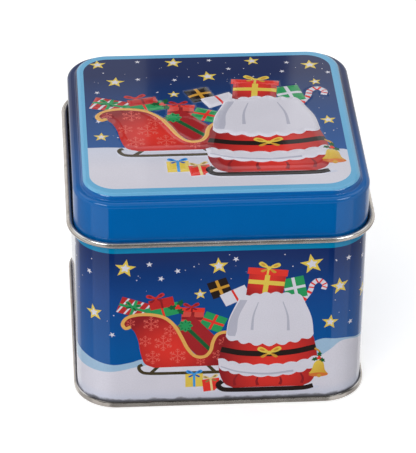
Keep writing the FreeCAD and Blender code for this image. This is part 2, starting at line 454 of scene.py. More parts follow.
def draw_sack(pen):
    """A big gift sack with a fleece cuff, on a low sledge, with parcels in its mouth and a bell."""
    pen.lay(disc(16.0, 6.0, 18.4, 24, 0.09), SNOW_LIGHT)
    sledge = curve([(0.2, 9.6), (-1.2, 8.0), (0.2, 6.2), (4, 5.7), (16, 5.6), (28, 5.7), (32.0, 6.6)], 5)
    pen.lay(stroke(sledge, 1.9), BLACK)
    pen.raise_(stroke(sledge, 2.1), 0.3, 1.0)

    cane = curve([(27.0, 42.0), (29.8, 46.6), (30.6, 49.4), (32.8, 51.0), (34.8, 49.2), (34.4, 47.2)], 5)
    pen.lay(stroke(cane, 1.8), WHITE)
    for k in range(1, len(cane) - 1, 3):
        pen.lay(stroke(cane[k : k + 2], 1.8), RED)
    pen.raise_(stroke(cane, 2.0), 0.35, 0.9)
    parcel(pen, -1.2, 48.8, 7.0, 7.0, 20, BLACK, GOLD_DARK, relief=0.4)
    parcel(pen, 4.2, 45.6, 9.4, 5.2, 26, WHITE, RED, relief=0.4, cross=False)
    parcel(pen, 24.6, 48.2, 7.4, 8.6, 12, GREEN, WHITE, relief=0.4)
    parcel(pen, 14.8, 50.6, 12.6, 11.6, -7, pen.red(14.6, 52.4, 9.5, 9.0), GOLD, relief=0.5)
    parcel(pen, 15.2, 55.0, 13.8, 2.6, -7, RED, GOLD, relief=0.55, cross=False)
    bow(pen, 15.6, 56.6, 3.8, -7, GOLD, GOLD_DARK)

    left = [
        (6.4, 44.0), (4.2, 38.6), (2.0, 32.6), (0.4, 26.6), (-0.8, 20.4), (-1.0, 14.2), (0.8, 8.8),
        (4.0, 6.6),
    ]
    right = [
        (28.4, 6.6), (31.6, 8.8), (33.2, 14.2), (33.0, 20.4), (31.8, 26.6), (30.0, 32.6), (28.0, 38.6),
        (26.2, 44),
    ]
    pen.emboss(curve(left, 5) + curve(right, 5), pen.red(18, 17, 18.0, 24), 0.6, 3.0)
    folds = [[(5.6, 12.4), (4.4, 10.0), (4.6, 7.6)], [(12.6, 10.8), (12.2, 9.2), (12.6, 7.4)]]
    folds += [[(20.4, 10.6), (20.8, 9.0), (20.4, 7.4)], [(27.4, 12.2), (28.4, 10.0), (28.0, 7.8)]]
    for fold in folds:
        pen.lay(stroke(curve(fold, 4), 0.5, 1.1), RED_DARK)

    hem = scalloped([(31.6, 28.6), (24.4, 26.2), (16.4, 25.2), (8.4, 26.2), (1.2, 28.6)], 1.3, 7)
    mouth = scalloped([(5.6, 44.6), (11.0, 45.6), (16.4, 46.0), (21.8, 45.6), (27.2, 44.6)], 0.8, 6)
    cuff = hem + curve([(1.2, 28.6), (2.2, 36.0), (5.6, 44.6)], 5)[1:-1]
    cuff += mouth + curve([(27.2, 44.6), (30.6, 36.0), (31.6, 28.6)], 5)[1:-1]
    pen.emboss(cuff, WHITE, 0.8, 2.2)
    shade = curve([(5.9, 43.8), (2.6, 36.0), (1.7, 29.6), (4.4, 28.6)], 5)
    shade += curve([(5.0, 31.0), (5.6, 37.0), (8.4, 43.6)], 5)
    pen.lay(shade, FUR_SHADE)
    for fold in ([(12.2, 42.6), (10.6, 37.0), (10.2, 31.0)], [(20.6, 42.6), (22.4, 36.6), (22.8, 30.4)]):
        pen.lay(stroke(curve(fold, 5), 0.3, 1.0), FUR_SHADE)

    strap = curve([(-0.4, 23.2), (7, 21.4), (16.4, 20.8), (25, 21.4), (32.6, 23.2)], 5)
    pen.lay(stroke(strap, 2.3), BLACK)
    bow(pen, 16.4, 21.2, 4.2, 0, GOLD, GOLD_DARK)

    low_hem = scalloped([(33.0, 15.4), (26, 12.6), (16.2, 11.4), (6, 12.6), (-1.0, 15.4)], 0.7, 8)
    high_hem = scalloped([(-1.4, 19.2), (6, 16.8), (16.2, 15.8), (26, 16.8), (33.6, 19.2)], 0.7, 8)
    pen.emboss(low_hem + high_hem, WHITE, 0.8, 1.8)
    shade = stroke(curve([(-0.4, 15.9), (6, 13.4), (16.2, 12.2), (25, 13.2)], 5), 0.5, 0.9)
    pen.lay(shade, FUR_SHADE)

    cord = curve([(32.2, 22.6), (34.0, 20.8), (33.8, 17.6)], 4)
    pen.lay(stroke(cord, 0.7), GOLD_DARK)
    bell = [(30.4, 11.8), (31.4, 13.4), (32.2, 16.2), (33.8, 17.4), (35.4, 16.2), (36.0, 13.2), (37.2, 11.4)]
    bell = curve(bell, 5) + [(33.8, 10.8)]
    pen.emboss(bell, fade(GOLD, GOLD_DARK, pen.point(31.6, 16), pen.point(36.4, 11)), 0.3, 1.2)
    pen.lay(disc(33.8, 11.2, 3.4, 16, 0.26), ink(196, 108, 52))
    pen.lay(disc(34.0, 10.7, 0.8, 8), GOLD_DARK)
    holly(pen, 33.8, 18.4, 2.8, 20)


def draw_small_gifts(pen):
    parcel(pen, -9.6, 10.3, 6.2, 5.6, 1, GOLD, RIBBON_BLUE, cross=False)
    bow(pen, -9.6, 13.0, 2.9, 0, RIBBON_BLUE, ink(36, 84, 160))
    parcel(pen, -3.6, 8.2, 6.0, 5.2, 7, RED, ink(214, 190, 130), cross=False)
    bow(pen, -3.9, 10.8, 2.8, 7, ink(206, 184, 128), ink(140, 116, 66))


def draw_fir(picture, x, foot, height):
    """A snow-dusted fir of stacked skirts."""
    picture.lay(oblong(x, foot + 0.04 * height, 0.07 * height, 0.16 * height), BROWN)
    for k in range(4):
        low = foot + height * (0.1 + 0.2 * k)
        high = low + height * (0.36 - 0.03 * k)
        half = height * (0.3 - 0.055 * k)
        tall = high - low
        green = fade(GREEN_DARK, ink(38, 110, 80), (x - half, low), (x + half, high))
        skirt = curve([(x, high), (x - half * 0.4, low + tall * 0.4), (x - half, low)], 4)
        skirt += curve([(x - half, low), (x, low + height * 0.02), (x + half, low)], 4)[1:]
        skirt += curve([(x + half, low), (x + half * 0.4, low + tall * 0.4), (x, high)], 4)[1:-1]
        picture.lay(skirt, green)
        cap = curve([(x, high), (x - half * 0.34, high - tall * 0.46)], 2)
        cap += curve([(x - half * 0.1, high - tall * 0.34), (x + half * 0.12, high - tall * 0.5)], 2)
        cap += [(x + half * 0.32, high - tall * 0.42)]
        picture.lay(cap, WHITE)


def scatter_sky(picture, seed, left, right, low, high, dots, clear):
    """Small dots of snow in the sky, clear of what is drawn there already."""
    rng = random.Random(seed)
    placed = 0
    while placed < dots:
        x, y = rng.uniform(left, right), rng.uniform(low, high)
        radius = rng.choice((0.12, 0.14, 0.18, 0.24, 0.32))
        if all(math.hypot(x - cx, y - cy) > cr for cx, cy, cr in clear):
            picture.lay(disc(x, y, radius, 7), WHITE)
            placed += 1


def lid_picture():
    """Night sky over snow inside a pale border, with the sleigh and the sack."""
    picture = Picture()
    picture.lay(rim_outline(PANEL_HALF), BORDER)
    left, right = BORDER_LEFT - HALF, HALF - BORDER_RIGHT
    low, high = BORDER_FRONT - HALF, HALF - BORDER_BACK
    sky = fade(LID_SKY_HIGH, LID_SKY_LOW, (0, 32), (0, -20))
    window = rounded_box(left, right, low, high, BORDER_CORNER_R)
    picture.lay(window, sky)
    horizon = curve([(left, -16.6), (-38, -16.6), (-31, -17.2), (-20, -18.2), (-4, -19.2), (14, -21.0)], 5)
    horizon += curve([(14, -21.0), (26, -21.8), (35, -21.6), (42, -21.2), (right, -21.8)], 5)[1:]
    foot = [p for p in window if p[1] < low + BORDER_CORNER_R + 0.01]
    picture.lay(foot + horizon[::-1], fade(SNOW_LIGHT, WHITE, (0, -18), (0, -30)))
    stars = [
        (-39.4, 40.0, 3.2, 4), (-12.2, 40.2, 3.4, -6), (16.2, 40.2, 3.0, 8), (36.8, 36.6, 3.5, 0),
        (-33.6, 27.4, 3.5, -8), (-0.4, 30.0, 3.6, 6), (-13.2, 18.0, 2.3, 0), (37.6, 24.6, 2.3, 10),
        (39.6, -1.8, 3.0, 4), (-39.8, -9.6, 2.9, -4),
    ]
    small = [
        (-25.0, 41.4), (-25.4, 29.0), (-12.4, 28.0), (-40.2, 20.4), (0.8, 41.4), (28.6, 38.6), (7.4, 35.0),
        (42.8, 31.0), (26.4, 32.4), (-40.4, 0.6),
    ]
    clear = lay_stars(picture, stars, small, 1.1, 12)
    scatter_sky(picture, 7, left + 2, right - 2, 16, high - 2, 34, clear)
    scatter_sky(picture, 8, left + 1.5, -34, -12, 16, 6, clear)
    scatter_sky(picture, 9, 36, right - 1.5, -14, 16, 7, clear)
    draw_sleigh(Pen(picture, 1.2, -39.4, 1.22))
    pen = Pen(picture, -2.6, -42.8, 1.23)
    draw_small_gifts(pen)
    draw_sack(pen)
    return picture


def body_picture():
    """The same on the body, unrolled: across is the length round it from the middle of the front."""
    picture = Picture()
    end = ROUND / 2.0
    picture.lay(strip(end, WALL_FOOT, WALL_HEAD), BARE, bare=True)

    def sky(points):
        upper = fade(SKY_MID, SKY_HIGH, (0, SKY_TURN), (0, 62))(points)
        lower = fade(SKY_LOW, SKY_MID, (0, 22), (0, SKY_TURN))(points)
        return np.where(points[:, 1:] > SKY_TURN, upper, lower)

    picture.lay(strip(end, WALL_FOOT, BODY_PRINT_TOP), sky)
    picture.lay(strip(end, BAND_LOW, BODY_PRINT_TOP), TEAL)
    foot = [(end, WALL_FOOT), (-end, WALL_FOOT)]
    drift = [
        (-end, 22.0), (-168, 20.4), (-150, 21.6), (-128, 25.4), (-108, 27.0), (-88, 24.6), (-66, 21.0),
        (-52, 19.8), (-39, 17.8), (-32, 18.6), (-26, 20.2), (-10, 21.0), (10, 20.6), (26, 22.6), (34, 26.4),
        (39, 26.2), (44, 25.2), (50, 23.0), (60, 20.6), (82, 21.2), (104, 21.0), (126, 19.6), (146, 21.4),
        (170, 23.2), (end, 22.0),
    ]
    picture.lay(curve(drift) + foot, SNOW_SHADE)
    snow = [
        (-end, 18.6), (-166, 17.4), (-146, 17.6), (-120, 20.8), (-104, 21.4), (-84, 18.0), (-60, 14.8),
        (-44, 14.4), (-36, 15.2), (-29, 16.8), (-18, 18.6), (0, 19.0), (20, 18.6), (30, 17.0), (37, 21.4),
        (41, 24.4), (45, 24.2), (51, 21.8), (60, 19.2), (80, 18.0), (100, 17.2), (124, 15.8), (148, 17.6),
        (168, 19.2), (end, 18.6),
    ]
    picture.lay(curve(snow) + foot, fade(SNOW_LIGHT, WHITE, (0, 3), (0, 7)))
    stars = [
        (-33.4, 58.0, 3.8, -8), (-1.6, 58.0, 3.5, 4), (30.2, 57.8, 4.2, 10), (40.2, 48.0, 3.5, 6),
        (37.2, 33.4, 3.1, -6), (-7.8, 46.6, 2.3, 4), (-44.6, 38.6, 3.4, 12), (52.4, 41.4, 3.0, 0),
        (66, 56.4, 3.8, 8), (84, 44.6, 3.2, -8), (74, 34.6, 2.4, 4), (103, 57.2, 3.5, 0),
        (112, 38.2, 3.2, 10), (128, 52.6, 3.6, -4), (146, 58.6, 2.6, 6), (160, 47.4, 3.4, -10),
        (176, 57.6, 3.2, 4), (-62, 53.2, 3.5, 6), (-76, 40.2, 3.0, -6), (-90, 58.2, 3.8, 4),
        (-102, 42.4, 2.6, 10), (-119, 55.8, 3.5, -8), (-131, 40.6, 3.2, 0), (-148, 56.8, 3.7, 8),
        (-163, 44.2, 3.1, -4), (-177, 57.2, 2.5, 6),
    ]
    small = [
        (-25.2, 59.4), (-15.6, 56.4), (4.2, 60.6), (-21.2, 53.4), (43.2, 58.8), (45.2, 31.4), (-38.0, 30.6),
        (-46.4, 55.0), (51.0, 56.0), (60, 45.6), (76, 60.0), (95, 49.4), (97, 33.2), (117, 60.6),
        (140, 40.6), (152, 34.2), (170, 38.4), (182, 49.6), (-56, 61.0), (-66, 34.2), (-83, 49.6),
        (-108, 60.4), (-112, 34.6), (-140, 47.8), (-156, 60.8), (-154, 33.4), (-171, 35.6), (-183, 50.2),
    ]
    clear = lay_stars(picture, stars, small, 1.2, 17)
    scatter_sky(picture, 3, -end + 4, end - 4, 46.5, BAND_LOW - 1.6, 110, clear)
    scatter_sky(picture, 4, -end + 4, -37, 29, 46, 40, clear)
    scatter_sky(picture, 5, 36, end - 4, 29, 46, 40, clear)
    for fir in ((-165, 17.4, 21), (-150, 18.6, 15), (150, 18.6, 17), (168, 19.4, 22), (136, 17.6, 12)):
        draw_fir(picture, *fir)
    for draw in (draw_sleigh, draw_small_gifts, draw_sack):
        draw(Pen(picture))
    return picture


# ---- round the tin


def round_tin(s):
    """Skeleton points and outward directions at these lengths round the body from the middle of its front."""
    s = np.asarray(s, float)
    quarter = ROUND / 4.0
    side = np.floor(s / quarter + 0.5)
    local = s - side * quarter
    x = np.clip(local, -ARC_CENTRE, ARC_CENTRE)
    bend = (local - x) / CORNER_R
    c, d = np.cos(side * math.pi / 2.0), np.sin(side * math.pi / 2.0)
    points = np.stack([c * x + d * ARC_CENTRE, d * x - c * ARC_CENTRE], axis=-1)
    nx, ny = np.sin(bend), -np.cos(bend)
    outward = np.stack([c * nx - d * ny, d * nx + c * ny], axis=-1)
    return points, outward


def rim_lengths(extra=()):
    """Lengths round the tin at which its rings have points, from the middle of the back and round again."""
    quarter = ROUND / 4.0
    arc = CORNER_R * math.pi / 2.0
    stops = []
    for side in range(-2, 3):
        middle = side * quarter
        stops += [middle - ARC_CENTRE + 2 * ARC_CENTRE * k / FLAT_PIECES for k in range(FLAT_PIECES + 1)]
        stops += [middle + ARC_CENTRE + arc * k / ARC_PIECES for k in range(1, ARC_PIECES)]
    end = ROUND / 2.0
    stops = sorted(set(round(s, 6) for s in stops if -end < s < end) | set(extra))
    return np.array([-end] + stops)


def rim_outline(half):
    points, outward = round_tin(rim_lengths())
    return [tuple(p) for p in points + outward * (half - ARC_CENTRE)]


class Sheet:
    """A folded sheet seen edge on, drawn along its middle and sampled on both of its faces."""

    def __init__(self, across, up, heading):
        self.a, self.z, self.heading = across, up, math.radians(heading)
        self.left, self.right = [], []
        self.mark()

    def mark(self):
        c, s = math.cos(self.heading), math.sin(self.heading)
        self.left.append((self.a - s * SHEET / 2, self.z + c * SHEET / 2, -s, c))
        self.right.append((self.a + s * SHEET / 2, self.z - c * SHEET / 2, s, -c))

    def straight(self, length, pieces=1):
        for _ in range(pieces):
            self.a += math.cos(self.heading) * length / pieces
            self.z += math.sin(self.heading) * length / pieces
            self.mark()

    def bend(self, radius, turn, step=12.0):
        arm = math.copysign(radius, turn)
        across, up = self.a - arm * math.sin(self.heading), self.z + arm * math.cos(self.heading)
        pieces = max(2, math.ceil(abs(turn) / step))
        for _ in range(pieces):
            self.heading += math.radians(turn / pieces)
            self.a = across + arm * math.sin(self.heading)
            self.z = up - arm * math.cos(self.heading)
            self.mark()

    def cap(self):
        """The sheet's cut end, as two samples that face along it."""
        c, s = math.cos(self.heading), math.sin(self.heading)
        return [(self.left[-1][0], self.left[-1][1], c, s), (self.right[-1][0], self.right[-1][1], c, s)]

    def start_cap(self):
        la, lz, na, nz = self.left[0]
        ra, rz = self.right[0][:2]
        return [(la, lz, -nz, na), (ra, rz, -nz, na)]


def step(rise, slope, first_r, second_r):
    """The straight part of a step up between two bends, and how far across the whole step goes."""
    c, d = math.cos(math.radians(slope)), math.sin(math.radians(slope))
    straight = (rise - (first_r + second_r) * (1 - c)) / d
    return straight, (first_r + second_r) * d + straight * c


PANEL_STRAIGHT, PANEL_RUN = step(LEDGE_DROP, PANEL_SLOPE, PANEL_EDGE_R, PANEL_FOOT_R)
PANEL_HALF = HALF - (PANEL_INSET + PANEL_RUN + PANEL_RIM)  # half width of the lid's plain panel


# ---- meshes


class Skin:
    """Gathers faces with their inks and normals, then makes one closed mesh of them."""

    def __init__(self):
        self.points, self.normals, self.blocks = [], [], []
        self.count = 0

    def add(self, points, normals, faces, colours, kinds):
        """Faces are rows of point numbers. There is an ink for each corner and a material for each face."""
        points, normals, faces = np.asarray(points, float), np.asarray(normals, float), np.asarray(faces)
        colours = np.asarray(colours, float).reshape(faces.shape + (3,))
        a, b, c = (points[faces[:, k]] for k in range(3))
        facing = np.einsum("ij,ij->", np.cross(b - a, c - a), normals[faces].sum(1))
        if facing < 0:
            faces, colours = faces[:, ::-1], colours[:, ::-1]
        self.blocks.append((faces + self.count, colours, np.asarray(kinds)))
        self.points.append(points)
        self.normals.append(normals)
        self.count += len(points)

    def build(self, name, materials):
        points, normals = np.vstack(self.points), unit(np.vstack(self.normals))
        keys = np.round(points * WELD_CELLS + CELL_SHIFT).astype(np.int64)
        _, first, where = np.unique(keys, axis=0, return_index=True, return_inverse=True)
        where = where.ravel()
        faces, corner_normals, colours, kinds = [], [], [], []
        for block, tints, block_kinds in self.blocks:
            welded = where[block]
            corners = welded != np.roll(welded, 1, axis=1)
            for face, keep, old, tint, kind in zip(welded, corners, block, tints, block_kinds):
                if keep.sum() < 3:
                    continue
                faces.append(face[keep].tolist())
                corner_normals.append(normals[old[keep]])
                colours.append(tint[keep])
                kinds.append(int(kind))
        mesh = bpy.data.meshes.new(name)
        mesh.from_pydata((points[first] * MM).tolist(), [], faces)
        mesh.update()
        for material in materials:
            mesh.materials.append(material)
        mesh.polygons.foreach_set("material_index", kinds)
        mesh.polygons.foreach_set("use_smooth", [True] * len(faces))
        layer = mesh.color_attributes.new("print", "FLOAT_COLOR", "CORNER")
        colours = np.vstack(colours)
        rgba = np.hstack([colours, np.ones((len(colours), 1))]).astype(np.float32)
        layer.data.foreach_set("color", rgba.ravel())
        mesh.normals_split_custom_set(np.vstack(corner_normals))
        return new_object(name, mesh)


def new_object(name, data):
    made = bpy.data.objects.new(name, data)
    bpy.context.scene.collection.objects.link(made)
    return made


def add_ring(skin, samples, stops, colour_of, push=None):
    """Carries section samples (across, up and their normal) round the tin as a strip of quads."""
    base, outward = round_tin(stops)
    samples = np.array(samples, float)
    rows, columns = len(samples), len(stops)
    across = np.repeat(samples[:, 0:1], columns, axis=1)
    if push is not None:
        across = across + push(stops[None, :], samples[:, 1:2], samples[:, 0:1])
    points = np.empty((rows, columns, 3))
    points[:, :, :2] = base[None] + outward[None] * (across - ARC_CENTRE)[:, :, None]
    points[:, :, 2] = samples[:, 1:2]
    normals = np.empty_like(points)
    normals[:, :, :2] = outward[None] * samples[:, 2][:, None, None]
    normals[:, :, 2] = samples[:, 3:4]
    here = np.arange(columns)
    ahead = np.roll(here, -1)
    quads = np.stack([here, ahead, ahead + columns, here + columns], axis=1)
    faces, colours, kinds = [], [], []
    for i in range(rows - 1):
        band = i * columns + quads
        tint, kind = colour_of((samples[i] + samples[i + 1]) / 2.0)
        if callable(tint):
            tint = tint(points.reshape(-1, 3)[band.ravel()])
        faces.append(band)
        colours.append(np.broadcast_to(tint, (4 * columns, 3)))
        kinds.append(np.full(columns, kind))
    faces, colours, kinds = np.vstack(faces), np.vstack(colours), np.concatenate(kinds)
    skin.add(points.reshape(-1, 3), normals.reshape(-1, 3), faces, colours, kinds)


def add_folded(skin, sheet, stops, colour_of, push):
    """Both faces of a folded sheet and its cut end. Only the first face may be printed."""
    for samples, colours in ((sheet.left, colour_of), (sheet.right, bare_metal), (sheet.cap(), bare_metal)):
        add_ring(skin, samples, stops, colours, push)


def cut_print(picture, loose, lines):
    """Cuts the picture's outlines, loose points and lines into one triangulated sheet."""
    coords = [tuple(p) for p in loose]
    edges, polygons = [], []
    for line in lines:
        edges += [(len(coords) + k, len(coords) + k + 1) for k in range(len(line) - 1)]
        coords += [tuple(p) for p in line]
    for outline, _, _ in picture.shapes:
        x, y = outline[:, 0], outline[:, 1]
        area = np.sum(x * np.roll(y, -1) - np.roll(x, -1) * y)
        outline = outline if area > 0 else outline[::-1]
        polygons.append(list(range(len(coords), len(coords) + len(outline))))
        coords += [tuple(p) for p in outline]
    flat = [Vector(c) for c in coords]
    points, _, faces, origin, _, owners = delaunay_2d_cdt(flat, edges, polygons, 0, 1e-5)
    exact = np.array([tuple(p) for p in points], float)
    for k, sources in enumerate(origin):
        if sources:
            exact[k] = coords[sources[0]]
    kept = [(face, max(inside)) for face, inside in zip(faces, owners) if inside]
    return exact, np.array([face for face, _ in kept]), np.array([owner for _, owner in kept])


def print_colours(picture, points, faces, owners):
    """One ink for each face corner, and one material number for each face."""
    colours = np.empty((len(faces) * 3, 3))
    corners = points[faces.ravel()]
    wide = np.repeat(owners, 3)
    for number in np.unique(owners):
        mine = wide == number
        colour = picture.shapes[number][1]
        colours[mine] = colour(corners[mine]) if callable(colour) else colour
    kinds = [1 if picture.shapes[number][2] else 0 for number in owners]
    return colours, kinds


def point_grid(left, right, low, high, step):
    x, y = np.meshgrid(np.arange(left, right, step), np.arange(low, high, step))
    return np.stack([x.ravel(), y.ravel()], axis=1)


def inside_rim(points, half):
    """Which points lie inside the tin's rounded square of this half width."""
    beyond = np.clip(np.abs(points) - ARC_CENTRE, 0, None)
    return np.linalg.norm(beyond, axis=1) < half - ARC_CENTRE


class Relief:
    """The height of the embossing over the lid's panel, on a fine square grid."""

    STEP = 0.25

    def __init__(self, picture, half):
        self.low = -half - 1.0
        count = int(2 * (half + 1.0) / self.STEP) + 2
        axis = self.low + self.STEP * np.arange(count)
        self.height = np.zeros((count, count))
        for outline, height, ramp in picture.reliefs:
            columns = np.flatnonzero((axis > outline[:, 0].min()) & (axis < outline[:, 0].max()))
            rows = np.flatnonzero((axis > outline[:, 1].min()) & (axis < outline[:, 1].max()))
            x, y = np.meshgrid(axis[columns], axis[rows])
            depth = depth_inside(np.stack([x.ravel(), y.ravel()], axis=1), outline).reshape(x.shape)
            share = 1 - (1 - np.clip(depth / ramp, 0, 1)) ** 2
            window = np.ix_(rows, columns)
            old = self.height[window]
            self.height[window] = old + (np.maximum(old, height) - old) * share
        for turn in (0, 1):
            self.height = sum(np.roll(self.height, k, axis=turn) for k in (-1, 0, 1)) / 3.0
        self.slope_y, self.slope_x = np.gradient(self.height, self.STEP)

    def sample(self, table, points):
        place = (points - self.low) / self.STEP
        cell = np.floor(place).astype(int)
        fx, fy = (place - cell).T
        i, j = cell[:, 0], cell[:, 1]
        low = table[j, i] * (1 - fx) + table[j, i + 1] * fx
        high = table[j + 1, i] * (1 - fx) + table[j + 1, i + 1] * fx
        return low * (1 - fy) + high * fy

    def surface(self, points):
        """Heights and upward normals at these points."""
        dx, dy = self.sample(self.slope_x, points), self.sample(self.slope_y, points)
        normals = np.stack([-dx, -dy, np.ones(len(points))], axis=1)
        return self.sample(self.height, points), unit(normals)


def depth_inside(points, outline):
    """How deep each point lies inside an outline; zero outside it."""
    a, b = outline, np.roll(outline, -1, axis=0)
    edge = b - a
    rel = points[:, None] - a[None]
    share = np.clip((rel * edge).sum(2) / np.maximum((edge * edge).sum(1), 1e-12), 0, 1)
    distance = np.linalg.norm(rel - share[:, :, None] * edge, axis=2).min(1)
    crosses = (a[:, 1] > points[:, None, 1]) != (b[:, 1] > points[:, None, 1])
    rise = np.where(edge[:, 1] == 0, 1e-12, edge[:, 1])
    at = a[:, 0] + (points[:, None, 1] - a[:, 1]) * edge[:, 0] / rise
    inside = (crosses & (points[:, None, 0] < at)).sum(1) % 2 == 1
    return np.where(inside, distance, 0.0)


def ripple(s, size):
    """A slight unevenness of hand-sized folded metal, the same after each trip round the tin."""
    turn = 2 * math.pi * s / ROUND
    waves = ((0.5, 5, 1.0), (0.3, 13, 2.0), (0.2, 31, 0.5))  # share, number round the tin, start
    return size * sum(share * np.sin(count * turn + start) for share, count, start in waves)


def bare_metal(sample):
    return BARE, 1


def lid_blue(points):
    """The lid's ground colour goes from navy at the back to a clear blue at the front."""
    share = np.clip((points[:, 1:2] - BLUE_END) / (NAVY_START - BLUE_END), 0, 1)
    return SKIRT_BLUE * (1 - share) + SKIRT_NAVY * share


# ---- the pieces


def make_lid(materials):
    picture = lid_picture()
    relief = Relief(picture, PANEL_HALF)
    grid = point_grid(-PANEL_HALF, PANEL_HALF, -PANEL_HALF, PANEL_HALF, LID_GRID)
    grid = grid[inside_rim(grid, PANEL_HALF - LID_GRID_CLEAR)]
    flat, faces, owners = cut_print(picture, grid, [])
    colours, kinds = print_colours(picture, flat, faces, owners)
    rise, normals = relief.surface(flat)
    skin = Skin()
    top = np.column_stack([flat, LID_TOP + rise])
    skin.add(top, normals, faces, colours, kinds)
    under = np.column_stack([flat, LID_TOP - SHEET + rise])
    skin.add(under, -normals, faces, np.tile(BARE, (len(colours), 1)), np.ones(len(faces), int))

    skirt_mid = HALF + LID_FIT + SHEET / 2.0
    shoulder_r = SHOULDER_R - SHEET / 2.0
    curl_r = LID_CURL_OUTER_R - SHEET / 2.0
    sheet = Sheet(PANEL_HALF, LID_TOP - SHEET / 2.0, 0)
    sheet.straight(PANEL_RIM)
    sheet.bend(PANEL_EDGE_R, -PANEL_SLOPE, 5)
    sheet.straight(PANEL_STRAIGHT)
    sheet.bend(PANEL_FOOT_R, PANEL_SLOPE)
    sheet.straight(skirt_mid - shoulder_r - sheet.a)
    sheet.bend(shoulder_r, -90, 9)
    sheet.straight(sheet.z - SKIRT_PRINT_LOW - SKIRT_STRIP, 4)
    sheet.straight(SKIRT_STRIP)
    sheet.straight(sheet.z - SKIRT_FLARE_R - LID_CURL_Z + curl_r)
    sheet.bend(SKIRT_FLARE_R, 90)
    sheet.straight(HALF + LID_CURL_OUT - sheet.a)
    sheet.bend(curl_r, LID_CURL_TURN)

    def printed(sample):
        across, up = sample[0], sample[1]
        if up < SKIRT_PRINT_LOW:
            return BARE, 1
        return (BORDER, 0) if across < HALF - PRINT_EDGE else (lid_blue, 0)

    def uneven(s, up, across):
        below = np.clip(LID_CURL_Z + CURL_RIPPLE_TOP - up, 0, 1)
        return ripple(s, CURL_RIPPLE) * (below * np.clip(across - HALF - CURL_RIPPLE_IN, 0, 1))

    add_folded(skin, sheet, rim_lengths(), printed, uneven)
    finish_piece(skin, "lid_shell", "lid", "lid", materials)


def lock_offsets():
    """Distances from the middle of the back at which the lock seam's shape has points."""
    ridge = [0.7, 1.4, 1.75, 1.9, LOCK_RIDGE_HALF, 2.2]
    groove = [LOCK_GROOVE_AT + LOCK_GROOVE_HALF * k / 4.0 for k in range(-4, 5)]
    return ridge, groove


def lock_share(up):
    """The lock seam's shape fades out above the base and below the curl."""
    top = BODY_TOP - 2 * BODY_CURL_OUTER_R - LOCK_HEAD_GAP
    return np.clip(np.minimum(up - LOCK_FOOT, top - up) / LOCK_FADE + 0.5, 0, 1)


def seam_groove(s, up):
    """Outside, a crease runs beside the fold."""
    off = np.abs(ROUND / 2.0 - s - LOCK_GROOVE_AT) / LOCK_GROOVE_HALF
    return -LOCK_GROOVE * np.clip(1 - off, 0, 1) ** 0.8 * lock_share(up)


def seam_ridge(s, up, across):
    """Inside, the folded layers stand in from the wall."""
    off = (ROUND / 2.0 - np.abs(s) - LOCK_RIDGE_HALF) / LOCK_RIDGE_ROUND
    return -LOCK_RIDGE * np.sqrt(np.clip(1 - np.clip(off + 1, 0, 1) ** 2, 0, 1)) * lock_share(up)


def make_body(materials):
    hook_mid = HALF + 2 * SEAM_GAP + 1.5 * SHEET
    hook_r = (hook_mid - HALF + SHEET / 2.0) / 2.0
    curl_r = BODY_CURL_OUTER_R - SHEET / 2.0
    hook = Sheet(hook_mid, WALL_FOOT + BODY_HOOK, -90)
    hook.straight(BODY_HOOK)
    hook.bend(hook_r, -180)
    wall = Sheet(hook.a, WALL_FOOT, 90)
    wall.straight(WALL_HEAD - WALL_FOOT, 34)
    curl = Sheet(wall.a, WALL_HEAD, 90)
    curl.bend(curl_r, BODY_CURL_TURN)

    ridge, groove = lock_offsets()
    end = ROUND / 2.0
    extra = [end - d for d in ridge + groove] + [-end + d for d in ridge]
    stops = rim_lengths(extra)
    skin = Skin()
    for samples in (hook.start_cap(), hook.left, hook.right, curl.left, curl.right, curl.cap()):
        add_ring(skin, samples, stops, bare_metal)
    add_ring(skin, wall.left, stops, bare_metal, seam_ridge)

    picture = body_picture()
    heights = np.append(np.arange(WALL_FOOT, WALL_HEAD, WALL_STEP), WALL_HEAD)
    quarter = ROUND / 4.0
    bends = [s for s in stops if abs(s - round(s / quarter) * quarter) > ARC_CENTRE - 1e-6]
    upright = sorted(set(bends) | set(end - d for d in groove) | {-end, end})
    lines = [[(s, z) for z in heights] for s in upright]
    lines += [[(s, z) for s in list(stops) + [end]] for z in (WALL_FOOT, WALL_HEAD)]
    grid = point_grid(-end + 1.5, end - 4, WALL_FOOT + 1, WALL_HEAD - 1, WALL_GRID)
    flat, faces, owners = cut_print(picture, grid, lines)
    colours, kinds = print_colours(picture, flat, faces, owners)
    base, outward = round_tin(flat[:, 0])
    push = seam_groove(flat[:, 0], flat[:, 1])
    points = np.column_stack([base + outward * (CORNER_R + push)[:, None], flat[:, 1]])
    near = 0.02
    ahead, behind = [seam_groove(flat[:, 0] + shift, flat[:, 1]) for shift in (near, -near)]
    level = outward - left_of(outward) * ((ahead - behind) / (2 * near))[:, None]
    skin.add(points, np.column_stack([level, np.zeros(len(flat))]), faces, colours, kinds)
    finish_piece(skin, "body_shell", "tin", "body_wall", materials)


